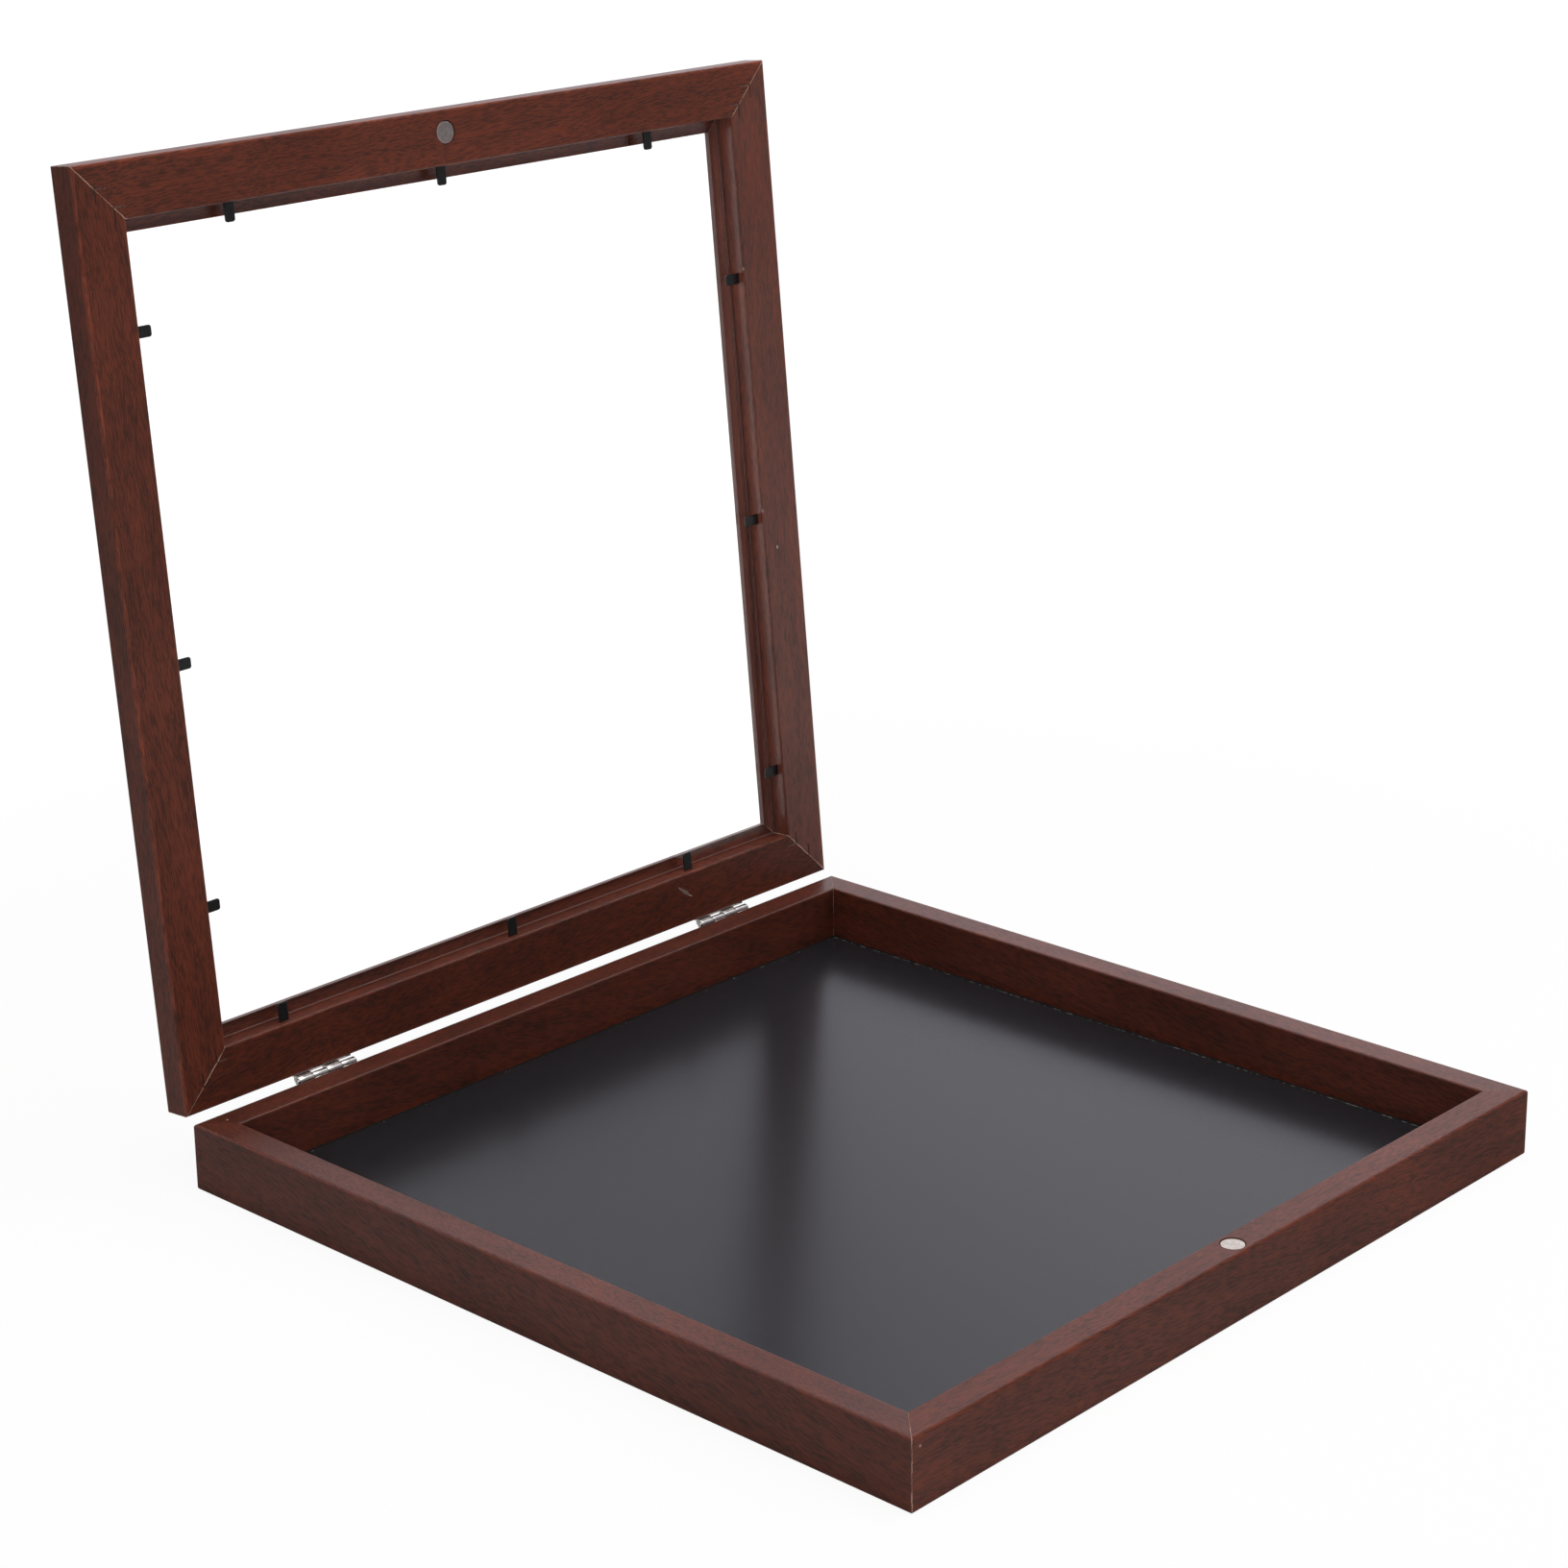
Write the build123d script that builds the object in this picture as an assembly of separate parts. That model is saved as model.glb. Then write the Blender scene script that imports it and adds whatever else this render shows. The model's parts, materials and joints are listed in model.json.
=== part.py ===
from build123d import *
import os

# Square hinged display case, standing on its base with the lid open. Millimetres.
# X runs along the hinges, Y from the front rail back to the hinges, Z is up.

# Whole case
case_width = 400.0
case_depth = 400.0
open_angle = 95.0           # where the hinges stop the lid, counted from closed
closed_gap = 0.3            # between lid and base when the lid is down

# Base rails, seen in section from the outer face inwards
base_height = 30.0
base_rail_width = 14.0
base_step_width = 6.5       # step cut under the tray wall for the backing board
base_outer_round = 1.4
base_inner_round = 0.9
base_foot_round = 1.2

# What lies in the tray
tray_depth = 23.4           # from the top of the rails down to the liner
liner_thickness = 1.2
liner_clearance = 3.0
liner_shift_x = -1.0        # the loose liner lies a little off centre
liner_shift_y = -1.0
board_thickness = 3.0
board_clearance = 0.5

# Lid rails, in section from the outer edge inwards, inner face down
lid_thickness = 13.8
lid_rail_width = 24.2       # flat inner face, from the outer edge to the rabbet
lip_width = 6.3
lip_thickness = 3.0
lid_outer_round = 1.6
lid_edge_round = 0.8
lid_rabbet_round = 1.0
lip_round = 0.8

# Clear panel on the lip
panel_thickness = 2.0
panel_clearance = 0.5

# Flat retainer tabs pressed into the rabbet walls, three to a rail
tab_width = 5.0
tab_thickness = 0.8
tab_reach = 8.6
tab_root = 6.0
tab_tip_round = 1.2
tab_depth = 3.6             # from the lid's inner face to the tab
tab_end_margin = 79.0       # from a rail's outer end to its first and last tab
tab_drift = {
    "front": (0.2, -3.6, 2.2),
    "right": (21.0, 16.8, 21.4),
    "back": (11.7, 5.5, 19.6),
    "left": (6.0, -9.7, 8.5),
}
point_reach = 6.0           # the like points under the backing board
point_root = 4.5

# Corner nails, bent to a V and driven across each mitre
nail_arm = 6.0
nail_gauge = 0.7
nail_length = 9.0
nail_set = 0.2
lid_nail_insets = (10.5, 18.8)
base_nail_inset = 3.2

# Closing magnets, one in each front rail
magnet_diameter = 10.0
magnet_thickness = 3.0
magnet_clearance = 0.25
magnet_recess = 0.35
magnet_chamfer = 0.25
magnet_shift = -2.0
base_magnet_inset = 7.0
lid_magnet_inset = 10.0

# Two small stop hinges on the back faces
hinge_end_margin = 75.0     # from a rail's end to the middle of its hinge
hinge_length = 32.0
hinge_drop = 1.0            # axis below the top of the base
knuckle_count = 4
knuckle_radius = 1.9
knuckle_gap = 0.3
leaf_thickness = 0.9
leaf_height = 10.0          # from the axis to the leaf's far edge
leaf_clearance = 0.3
leaf_corner = 1.2
neck_relief = 0.3
pin_radius = 0.8
pin_fixed_fit = 0.02
pin_running_fit = 0.06
pin_head_radius = 1.3
pin_head_height = 0.5
stop_gap = 0.05
stop_thickness = 0.8
stop_length = 3.6

# Countersunk screws, two to a leaf
screw_pitch = 18.0
screw_row = 6.3             # from the axis
screw_head_radius = 1.9
screw_shank_radius = 1.1
screw_length = 9.0
screw_point = 2.0
screw_fit = 0.05
screw_slot_width = 0.5
screw_slot_length = 2.2
screw_slot_depth = 0.5

# Worked out from the sizes above
step_height = base_height - tray_depth - liner_thickness
rabbet_depth = lid_thickness - lip_thickness
lid_section_width = lid_rail_width + lip_width
lid_level = base_height + closed_gap
hinge_offset = leaf_thickness + knuckle_radius
hinge_y = case_depth / 2 + hinge_offset
hinge_z = base_height - hinge_drop
hinge_axis = Axis((0, hinge_y, hinge_z), (1, 0, 0))
hinge_places = {
    "left_hinge": hinge_end_margin - case_width / 2,
    "right_hinge": case_width / 2 - hinge_end_margin,
}
side_turn = {"front": 0, "right": 90, "back": 180, "left": 270}


# Outer length of the rail on a side
def rail_length(side):
    return case_width if side in ("front", "back") else case_depth


# How far the outer face of that rail is from the middle of the case
def rail_reach(side):
    return case_depth / 2 if side in ("front", "back") else case_width / 2


# Turns what is drawn for the front rail round to another side
def on_side(shape, side):
    return Rot(0, 0, side_turn[side]) * shape


# Turns what is drawn with the lid down about the hinge axis to where the lid stands open
def opened(shape):
    return shape.rotate(hinge_axis, -open_angle)


# Stepped rail section: X from the outer face inwards, Y up, with the step under its inner side
def rail_section(width, height, step_width, step_rise, rounds):
    wall = width - step_width
    outline = Polyline((0, 0), (wall, 0), (wall, step_rise), (width, step_rise), (width, height),
                       (0, height), close=True)
    section = make_face(outline)
    for across, up, radius in rounds:
        corner = section.vertices().sort_by_distance((across, up, 0))[0]
        section = fillet(corner, radius)
    return section


# Rail of one side, with a mitre at both ends
def mitred_rail(side, section, width, height):
    half = rail_length(side) / 2
    bar = extrude(Plane.YZ * section, half, both=True)
    plan = make_face(Polyline((-half, 0), (half, 0), (half - width, width), (width - half, width), close=True))
    rail = bar & extrude(plan, height)
    return Pos(0, -rail_reach(side), 0) * rail


# Flat tab pointing to +Y from a wall on Y = 0, its root sunk into the wall, its lower face on Z = 0
def retainer(reach, root):
    blade = Pos(0, (reach - root) / 2) * Rectangle(tab_width, reach + root)
    blade = fillet(blade.vertices().sort_by(Axis.Y)[-2:], tab_tip_round)
    return extrude(blade, tab_thickness)


# The three places along a rail where its tabs go
def tab_places(side, drift):
    first = tab_end_margin - rail_length(side) / 2
    return [first + drift[0], drift[1], drift[2] - first]


# Corner frames: X and Y run inwards along the two rails that meet there
def corner_frames():
    x = case_width / 2
    y = case_depth / 2
    return [
        Pos(-x, -y, 0) * Rot(0, 0, 0),
        Pos(x, -y, 0) * Rot(0, 0, 90),
        Pos(x, y, 0) * Rot(0, 0, 180),
        Pos(-x, y, 0) * Rot(0, 0, 270),
    ]


# V-shaped nail at one inset from a corner, standing up from Z = nail_set
def corner_nail(inset):
    span = nail_arm + nail_gauge / 2
    centre = inset + (nail_arm - nail_gauge / 2) / 2
    arm = Pos(centre, inset, 0) * Rectangle(span, nail_gauge)
    other = Pos(inset, centre, 0) * Rectangle(nail_gauge, span)
    return Pos(0, 0, nail_set) * extrude(arm + other, nail_length)


# Its slot in the wood runs out to the face that it was driven in from
def corner_slot(inset):
    slot = corner_nail(inset)
    return slot + Pos(0, 0, -nail_set) * slot


# Nails of all four corners, and the slots that they leave in the rails
def nails_and_slots(insets):
    nails = [frame * corner_nail(inset) for frame in corner_frames() for inset in insets]
    slots = [frame * corner_slot(inset) for frame in corner_frames() for inset in insets]
    return nails, slots


# Disc magnet with its face a little under Z = 0, and its pocket
def magnet():
    disc = Pos(0, 0, -magnet_recess - magnet_thickness / 2) * Cylinder(magnet_diameter / 2, magnet_thickness)
    return chamfer(disc.edges().filter_by(GeomType.CIRCLE).sort_by(Axis.Z)[-1], magnet_chamfer)


def magnet_pocket():
    depth = magnet_recess + magnet_thickness
    return Pos(0, 0, -depth / 2) * Cylinder(magnet_diameter / 2 + magnet_clearance, depth)


# Countersunk screw along Z, head face on Z = 0, or with some extra radius the hole for it
def screw_body(extra):
    head = screw_head_radius + extra
    shank = screw_shank_radius + extra
    profile = Polyline((0, 0, 0), (head, 0, 0), (shank, 0, -leaf_thickness),
                       (shank, 0, screw_point - screw_length), (0, 0, -screw_length - extra), close=True)
    return revolve(make_face(profile), Axis.Z)


def screw():
    slot = Pos(0, 0, -screw_slot_depth / 2) * Box(screw_slot_length, screw_slot_width, screw_slot_depth)
    return screw_body(0) - slot - Rot(0, 0, 90) * slot


# Places of the two screws of a leaf: up is 1 for the lid leaf, -1 for the base leaf
def screw_places(up):
    level = hinge_z + up * screw_row
    face = case_depth / 2 + leaf_thickness
    return [Pos(x, face, level) * Rot(-90, 0, 0) for x in (-screw_pitch / 2, screw_pitch / 2)]


# Where the knuckles of a leaf start along X, and how long each is. The lid has the first one.
def knuckle_spans(up):
    pitch = hinge_length / knuckle_count
    first = 0 if up > 0 else 1
    starts = [i * pitch - hinge_length / 2 for i in range(first, knuckle_count, 2)]
    return [(start + knuckle_gap / 2, pitch - knuckle_gap) for start in starts]


# Lug on a lid knuckle that meets the base leaf when the lid is open, drawn there and turned back
def stop_lug(start, length):
    inner = stop_gap - knuckle_radius
    outer = stop_thickness - knuckle_radius
    lug = Pos(start, hinge_y + inner, hinge_z - stop_length) * Box(
        length, outer - inner, stop_length, align=(Align.MIN, Align.MIN, Align.MIN))
    return lug.rotate(hinge_axis, open_angle)


# Hinge leaf in the lid-down position: up is 1 for the lid leaf, -1 for the base leaf
def hinge_leaf(up, bore_fit):
    near = knuckle_radius + leaf_clearance
    plate_height = leaf_height - near
    plate = Rectangle(hinge_length, plate_height)
    plate = fillet(plate.vertices().sort_by(Axis.Y)[-2:], leaf_corner)
    plate = extrude(Pos(0, near + plate_height / 2) * plate, leaf_thickness)
    # the drawn plate's Y goes up or down from the axis, its thickness lies against the back face
    leaf = Pos(0, case_depth / 2 + leaf_thickness, hinge_z) * (Rot(90, 0, 0) * plate)
    if up < 0:
        leaf = leaf.mirror(Plane.XY.offset(hinge_z))
    for start, length in knuckle_spans(up):
        barrel = Pos(start, hinge_y, hinge_z) * (Rot(0, 90, 0) * Cylinder(
            knuckle_radius, length, align=(Align.CENTER, Align.CENTER, Align.MIN)))
        neck_height = near + leaf_thickness / 2
        neck = Pos(start, hinge_y, hinge_z) * Box(
            length, hinge_offset - neck_relief, neck_height,
            align=(Align.MIN, Align.MAX, Align.MIN if up > 0 else Align.MAX))
        leaf += barrel + neck
        if up > 0:
            leaf += stop_lug(start, length)
    bore = Pos(0, hinge_y, hinge_z) * (Rot(0, 90, 0) * Cylinder(pin_radius + bore_fit, 2 * hinge_length))
    leaf -= bore
    for place in screw_places(up):
        leaf -= place * screw_body(screw_fit)
    return leaf


# Pin with a low head at each end
def hinge_pin():
    length = hinge_length + knuckle_gap
    pin = Cylinder(pin_radius, length)
    for end in (-1, 1):
        head = Cylinder(pin_head_radius, pin_head_height)
        head = chamfer(head.edges().filter_by(GeomType.CIRCLE).sort_by(Axis.Z)[-1], pin_head_height / 2)
        if end < 0:
            head = Rot(180, 0, 0) * head
        pin += Pos(0, 0, end * (length + pin_head_height) / 2) * head
    return Pos(0, hinge_y, hinge_z) * (Rot(0, 90, 0) * pin)


# Base: rails, board, points, liner, nails and magnet
def make_base():
    pieces = {}
    section = rail_section(base_rail_width, base_height, base_step_width, step_height, (
        (0, base_height, base_outer_round),
        (base_rail_width, base_height, base_inner_round),
        (0, 0, base_foot_round),
    ))
    nails, slots = nails_and_slots((base_nail_inset,))
    points = []
    hinge_holes = [Pos(x, 0, 0) * place * screw_body(screw_fit)
                   for x in hinge_places.values() for place in screw_places(-1)]
    for side in side_turn:
        wall = base_rail_width - base_step_width - rail_reach(side)
        point_level = step_height - board_thickness - tab_thickness
        rail = mitred_rail(side, section, base_rail_width, base_height)
        for place in tab_places(side, (0, 0, 0)):
            point = Pos(place, wall, point_level) * retainer(point_reach, point_root)
            rail -= point
            points.append(on_side(point, side))
        rail = on_side(rail, side)
        for slot in slots:
            rail -= slot
        pieces["base_" + side + "_rail"] = rail
    for hole in hinge_holes:
        pieces["base_back_rail"] -= hole

    magnet_place = Pos(magnet_shift, base_magnet_inset - case_depth / 2, base_height)
    pieces["base_front_rail"] -= magnet_place * magnet_pocket()
    pieces["base_magnet"] = magnet_place * magnet()

    board_inset = base_rail_width - base_step_width + board_clearance
    board = Box(case_width - 2 * board_inset, case_depth - 2 * board_inset, board_thickness)
    pieces["backing_board"] = Pos(0, 0, step_height - board_thickness / 2) * board
    liner_inset = base_rail_width + liner_clearance
    liner = Box(case_width - 2 * liner_inset, case_depth - 2 * liner_inset, liner_thickness)
    pieces["display_liner"] = Pos(liner_shift_x, liner_shift_y, step_height + liner_thickness / 2) * liner
    pieces["board_points"] = Compound(points)
    pieces["base_corner_nails"] = Compound(nails)
    return pieces


# Lid, drawn down on the base: rails, panel, tabs, nails and magnet
def make_lid():
    pieces = {}
    section = rail_section(lid_section_width, lid_thickness, lip_width, rabbet_depth, (
        (0, lid_thickness, lid_outer_round),
        (lid_section_width, lid_thickness, lip_round),
        (0, 0, lid_edge_round),
        (lid_rail_width, 0, lid_rabbet_round),
    ))
    raised = Pos(0, 0, lid_level)
    nails, slots = nails_and_slots(lid_nail_insets)
    hinge_holes = [Pos(x, 0, 0) * place * screw_body(screw_fit)
                   for x in hinge_places.values() for place in screw_places(1)]
    for side in side_turn:
        wall = lid_rail_width - rail_reach(side)
        rail = mitred_rail(side, section, lid_section_width, lid_thickness)
        tabs = []
        for place in tab_places(side, tab_drift[side]):
            tab = Pos(place, wall, tab_depth) * retainer(tab_reach, tab_root)
            rail -= tab
            tabs.append(raised * on_side(tab, side))
        rail = on_side(rail, side)
        for slot in slots:
            rail -= slot
        pieces["lid_" + side + "_rail"] = raised * rail
        pieces["lid_" + side + "_tabs"] = Compound(tabs)
    for hole in hinge_holes:
        pieces["lid_back_rail"] -= hole

    magnet_place = raised * Pos(magnet_shift, lid_magnet_inset - case_depth / 2, 0) * Rot(180, 0, 0)
    pieces["lid_front_rail"] -= magnet_place * magnet_pocket()
    pieces["lid_magnet"] = magnet_place * magnet()

    panel_inset = lid_rail_width + panel_clearance
    panel = Box(case_width - 2 * panel_inset, case_depth - 2 * panel_inset, panel_thickness)
    pieces["glazing_panel"] = Pos(0, 0, lid_level + rabbet_depth - panel_thickness / 2) * panel
    pieces["lid_corner_nails"] = raised * Compound(nails)
    return pieces


# One hinge, by its name and its place along X: pieces of the base and pieces of the lid
def make_hinge(name, x):
    place = Pos(x, 0, 0)
    base_pieces = {
        name + "_base_leaf": place * hinge_leaf(-1, pin_fixed_fit),
        name + "_pin": place * hinge_pin(),
        name + "_base_screws": place * Compound([spot * screw() for spot in screw_places(-1)]),
    }
    lid_pieces = {
        name + "_lid_leaf": place * hinge_leaf(1, pin_running_fit),
        name + "_lid_screws": place * Compound([spot * screw() for spot in screw_places(1)]),
    }
    return base_pieces, lid_pieces


base = make_base()
lid = make_lid()
for name, x in hinge_places.items():
    base_pieces, lid_pieces = make_hinge(name, x)
    base.update(base_pieces)
    lid.update(lid_pieces)

pieces = dict(base)
for name, piece in lid.items():
    pieces[name] = opened(piece)

# The origin is under the middle of the open case, on the surface that it stands on
box = Compound(list(pieces.values())).bounding_box()
centring = Pos(-box.center().X, -box.center().Y, -box.min.Z)
os.makedirs("parts", exist_ok=True)
for name, piece in pieces.items():
    export_step(centring * piece, "parts/" + name + ".step")

print("open case", box.size)
print("middle of the base", (centring * Pos(0, 0, 0)).position)
print("hinge axis", (centring * Pos(0, hinge_y, hinge_z)).position)
print("floor of the tray", step_height + liner_thickness)
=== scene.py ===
import json
import math

import bmesh
import bpy
from mathutils import Matrix, Vector


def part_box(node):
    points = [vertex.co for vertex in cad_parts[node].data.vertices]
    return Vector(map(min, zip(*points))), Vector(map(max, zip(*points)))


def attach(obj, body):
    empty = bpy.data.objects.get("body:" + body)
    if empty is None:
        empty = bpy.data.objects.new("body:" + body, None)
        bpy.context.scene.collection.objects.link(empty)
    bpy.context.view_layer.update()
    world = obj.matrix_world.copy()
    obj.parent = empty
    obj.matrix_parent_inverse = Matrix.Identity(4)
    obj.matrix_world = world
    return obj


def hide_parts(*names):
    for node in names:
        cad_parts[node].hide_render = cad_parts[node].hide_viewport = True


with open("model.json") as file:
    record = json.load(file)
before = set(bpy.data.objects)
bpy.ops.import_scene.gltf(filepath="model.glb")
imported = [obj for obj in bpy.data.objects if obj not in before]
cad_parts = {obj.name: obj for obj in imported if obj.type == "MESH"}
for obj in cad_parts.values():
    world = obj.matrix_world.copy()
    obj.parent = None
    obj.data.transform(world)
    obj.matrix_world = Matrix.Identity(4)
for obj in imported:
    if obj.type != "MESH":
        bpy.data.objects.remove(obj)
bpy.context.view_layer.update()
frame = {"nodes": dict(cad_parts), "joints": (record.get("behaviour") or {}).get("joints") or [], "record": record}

scene = bpy.context.scene
scene.view_settings.view_transform = "Standard"
mm = 0.001
print("frame loaded,", len(frame["nodes"]), "nodes")


# Places taken from the frame: the case's outline, the hinge axis and how far the lid stands open

hinge = frame["joints"][0]
hingePoint = Vector(hinge["pos_m"])
openAngle = math.radians(hinge["range_deg"][1])
frontLow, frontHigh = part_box("base_front_rail")
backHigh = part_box("base_back_rail")[1]
caseMiddle = Vector(((frontLow.x + frontHigh.x) / 2, (frontLow.y + backHigh.y) / 2, 0))
halfWidth = (frontHigh.x - frontLow.x) / 2
halfDepth = (backHigh.y - frontLow.y) / 2
baseTop = frontHigh.z
rabbetInset = 24.2 * mm    # from the lid's outer face to its rabbet, to the panel and to the end of the lip
panelInset = 24.7 * mm
lipInset = 30.5 * mm
lidGap = 0.3 * mm          # between lid and base when the lid is down
sideTurn = {"front": 0, "right": 90, "back": 180, "left": 270}
lidOpening = (Matrix.Translation(hingePoint) @ Matrix.Rotation(-openAngle, 4, "X")
              @ Matrix.Translation(-hingePoint))


def turned(axis, degrees):
    return Matrix.Rotation(math.radians(degrees), 4, axis)


def railFrame(part, side):      # X along the rail, Y inwards from its outer face, Z up with the lid down
    reach = halfDepth if side in ("front", "back") else halfWidth
    level = 0 if part == "base" else baseTop + lidGap
    place = (Matrix.Translation(caseMiddle + Vector((0, 0, level))) @ turned("Z", sideTurn[side])
             @ Matrix.Translation((0, -reach, 0)))
    return place if part == "base" else lidOpening @ place


def addObject(name, data):
    piece = bpy.data.objects.new(name, data)
    scene.collection.objects.link(piece)
    return piece


# Camera

cameraStand = {
    "place": (-1.04331, -0.95900, 0.65388),
    "heading": 46.765,       # degrees from +Y towards +X
    "pitch": -17.494,
    "roll": -0.760,
    "lens": 82.530,
    "sensor": 36,
    "shift": (0.00525, -0.0562),      # the photograph's framing
    "nearest": 0.05,
}


def makeCamera():
    data = bpy.data.cameras.new("camera")
    data.lens = cameraStand["lens"]
    data.sensor_width = cameraStand["sensor"]
    data.shift_x, data.shift_y = cameraStand["shift"]
    data.clip_start = cameraStand["nearest"]
    camera = addObject("camera", data)
    camera.matrix_world = (Matrix.Translation(cameraStand["place"]) @ turned("Z", -cameraStand["heading"])
                           @ turned("X", 90 + cameraStand["pitch"]) @ turned("Z", cameraStand["roll"]))
    scene.camera = camera


makeCamera()
print("camera placed")


# Small helpers for node trees

def emptyTree(owner):
    owner.use_nodes = True
    owner.node_tree.nodes.clear()
    return owner.node_tree


def addNode(tree, kind, inputs=None, **settings):
    node = tree.nodes.new(kind)
    for name, value in settings.items():
        setattr(node, name, value)
    for name, value in (inputs or {}).items():
        if isinstance(value, bpy.types.NodeSocket):
            tree.links.new(value, node.inputs[name])
        else:
            node.inputs[name].default_value = value
    return node


def calc(tree, operation, first, second=0.0, third=0.0, clamp=False):
    node = addNode(tree, "ShaderNodeMath", {0: first, 1: second, 2: third}, operation=operation)
    node.use_clamp = clamp
    return node.outputs[0]


def times(tree, first, second):
    return calc(tree, "MULTIPLY", first, second)


def minus(tree, first, second):
    return calc(tree, "SUBTRACT", first, second)


def absolute(tree, value):
    return calc(tree, "ABSOLUTE", value)


def spread(tree, value, fromLow, fromHigh, toLow=0.0, toHigh=1.0, smooth=False):
    node = addNode(tree, "ShaderNodeMapRange", {"Value": value, "From Min": fromLow, "From Max": fromHigh,
                                                "To Min": toLow, "To Max": toHigh})
    node.interpolation_type = "SMOOTHSTEP" if smooth else "LINEAR"
    return node.outputs["Result"]


def near(tree, value, place, fade, low=0.0, high=1.0):      # from low to high as the value passes a place
    return spread(tree, value, place + fade[0], place + fade[1], low, high)


def noise(tree, point, scale, detail=2.0, roughness=0.5):
    return addNode(tree, "ShaderNodeTexNoise", {"Vector": point, "Scale": scale, "Detail": detail,
                                                "Roughness": roughness})


def patches(tree, point, scale, detail, low, high, cut=(0.3, 0.7), roughness=0.5):      # from low to high
    return spread(tree, noise(tree, point, scale, detail, roughness).outputs[0], *cut, low, high)


def blend(tree, amount, first, second, kind="MIX"):
    node = addNode(tree, "ShaderNodeMix", data_type="RGBA", blend_type=kind)
    for socket, value in ((node.inputs[0], amount), (node.inputs[6], first), (node.inputs[7], second)):
        if isinstance(value, bpy.types.NodeSocket):
            tree.links.new(value, socket)
        elif isinstance(value, tuple):
            socket.default_value = (*value, 1)
        else:
            socket.default_value = value
    return node.outputs[2]


def tinted(tree, tone, level):      # a colour made lighter or darker by a number
    grey = addNode(tree, "ShaderNodeCombineColor", {0: level, 1: level, 2: level}).outputs[0]
    return blend(tree, 1.0, tone, grey, "MULTIPLY")


def within(tree, point, place, turn, size):      # the point seen from a turned and scaled frame
    return addNode(tree, "ShaderNodeMapping", {"Vector": point, "Location": place, "Rotation": turn,
                                               "Scale": size}, vector_type="TEXTURE").outputs[0]


def onRail(tree, point, part, side):      # the point in railFrame's X, Y and Z
    place = railFrame(part, side)
    return within(tree, point, place.translation, place.to_euler("XYZ"), (1, 1, 1))


def axesOf(tree, vector):
    return addNode(tree, "ShaderNodeSeparateXYZ", {0: vector}).outputs


def lengthOf(tree, vector):
    return addNode(tree, "ShaderNodeVectorMath", {0: vector}, operation="LENGTH").outputs["Value"]


def bump(tree, height, strength, depth):
    return addNode(tree, "ShaderNodeBump", {"Height": height, "Strength": strength,
                                            "Distance": depth}).outputs[0]


def newFinish(name, **constants):
    material = bpy.data.materials.new(name)
    tree = emptyTree(material)
    output = addNode(tree, "ShaderNodeOutputMaterial")
    shader = addNode(tree, "ShaderNodeBsdfPrincipled")
    for socket, value in constants.items():
        shader.inputs[socket.replace("_", " ")].default_value = value
    tree.links.new(shader.outputs[0], output.inputs["Surface"])
    point = addNode(tree, "ShaderNodeTexCoord").outputs["Object"]
    return material, tree, shader, point


def joinTo(tree, shader, **sockets):
    for name, socket in sockets.items():
        tree.links.new(socket, shader.inputs[name.replace("_", " ")])


def dress(mesh, material):
    mesh.materials.clear()
    mesh.materials.append(material)


# Woodgrain foil round the rails

foil = {
    "redTone": (0.152, 0.0345, 0.0185),
    "brownTone": (0.046, 0.0175, 0.0125),
    "dash": (7.0 * mm, 0.60 * mm),       # length and width of the printed pores
    "dashCut": (0.46, 0.57),             # levels of the noise between which they appear
    "dashShare": 0.70,
    "fineDash": (3.0 * mm, 0.30 * mm),
    "fineCut": (0.50, 0.62),
    "fineShare": 0.30,
    "poreShare": 0.75,                   # of both kinds of pores beside the streaks
    "streak": (60 * mm, 6 * mm),
    "streakCut": (0.30, 0.70),
    "streakShare": 0.35,
    "wave": 7 * mm,                      # how far the print bends, and over what length
    "waveLength": 60 * mm,
    "cloud": (16, 2.0, 0.86, 1.14),      # scale and detail of its patches, darkest and palest
    "glossLevel": 0.23,
    "roughness": (0.30, 0.39),           # of the red ground and of the pores
    "relief": 0.03,
    "reliefDepth": 0.05 * mm,
    "arrisWearAndHighlight": 0.18,                   # how much paler the arrises are: wear, and a painted highlight
    "arrisReach": (0.9 * mm, 1.6 * mm),
    # a painted highlight along the edge of the lid's rabbet
    "rabbetHighlightReach": (0.6 * mm, 1.1 * mm),
    "wear": (140, 2.0, 0.3, 1.0),        # scale and detail of the wear, least and most
    "wearCut": (0.35, 0.6),
    # colour of a painted sheen in the lid's rabbet
    "paintedSheenTone": (0.33, 0.165, 0.145),
    "wallPaintedSheen": 0.4,                     # share of the lip's painted sheen that lies on the wall of the rabbet
    "wallFade": (-0.3 * mm, 0),          # round the rabbet's wall, and above the lid's face
    "wallRise": (0.8 * mm, 2.0 * mm),
    "lipFade": (0.2 * mm, 0.6 * mm),
    # where and in what colour a painted highlight lies on the end of the lid's lip
    "lipHighlightFade": (-0.4 * mm, -0.1 * mm),
    "lipHighlightTone": (0.23, 0.165, 0.150),
    "coreTone": (0.50, 0.33, 0.25),      # fibreboard that shows where the foil ends
    "coreSpeck": (2500, 1.0, 0.70, 1.15),
    "coreDull": 0.4,
    "coreDrop": 2,                       # how deep it lies, in depths of a pore
}
railGloss = {
    "base_front_rail": 0.18,
    "base_right_rail": 0.26,
    "base_back_rail": 0.36,
    "base_left_rail": 0.25,
    "lid_right_rail": 0.66,
}
# on the lid's rails the paler arrises are mostly a painted highlight, beside wear
railArrisWearAndHighlight = {"lid_left_rail": 0.75, "lid_front_rail": 0.5, "lid_back_rail": 0.5}
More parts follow.
